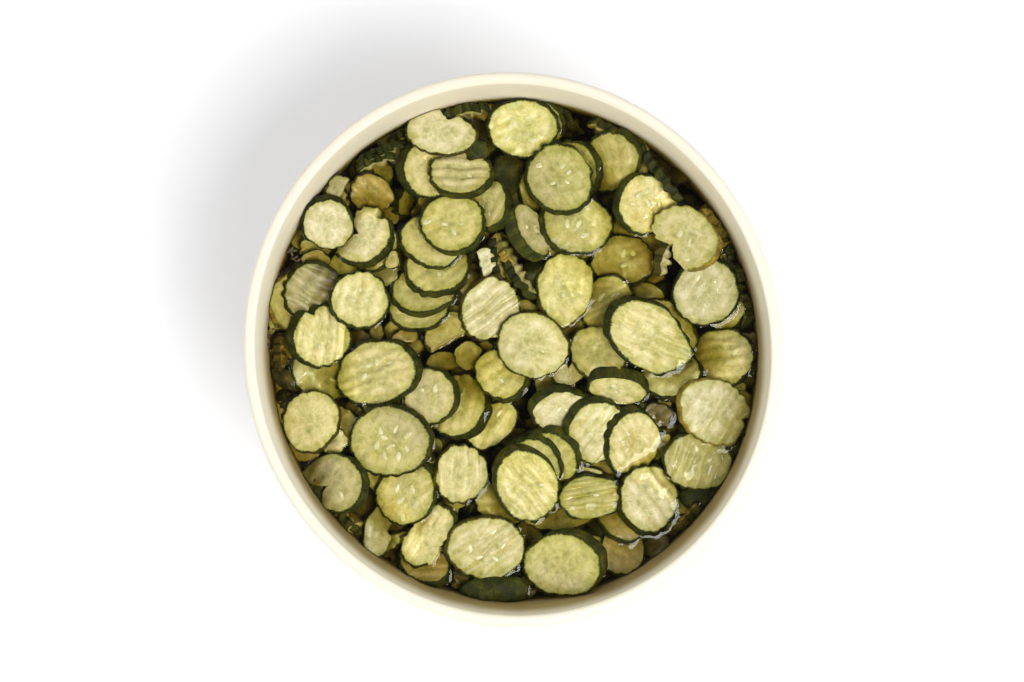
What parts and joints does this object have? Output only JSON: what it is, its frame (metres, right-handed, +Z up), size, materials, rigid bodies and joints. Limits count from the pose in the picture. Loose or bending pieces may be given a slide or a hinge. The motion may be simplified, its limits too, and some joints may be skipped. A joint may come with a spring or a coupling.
{
  "type": "tub of sliced pickles",
  "caption": "Open round white plastic tub filled with crinkle-cut cucumber pickle slices in brine.",
  "frame": {"origin": "centre of the foot ring, on the surface that the tub stands on", "axes": "+Z up along the tub's axis; +Y is the top of the picture and +X its right"},
  "size_m": [0.271, 0.279, 0.17],
  "materials": {
    "tub_plastic": "moulded warm white polyethylene, satin",
    "pickle_flesh": "wet pale yellow-green cucumber flesh with a dark green peel"
  },
  "bodies": {
    "root": {"tub": "tub_plastic", "pickles": "pickle_flesh"}
  },
  "joints": []
}
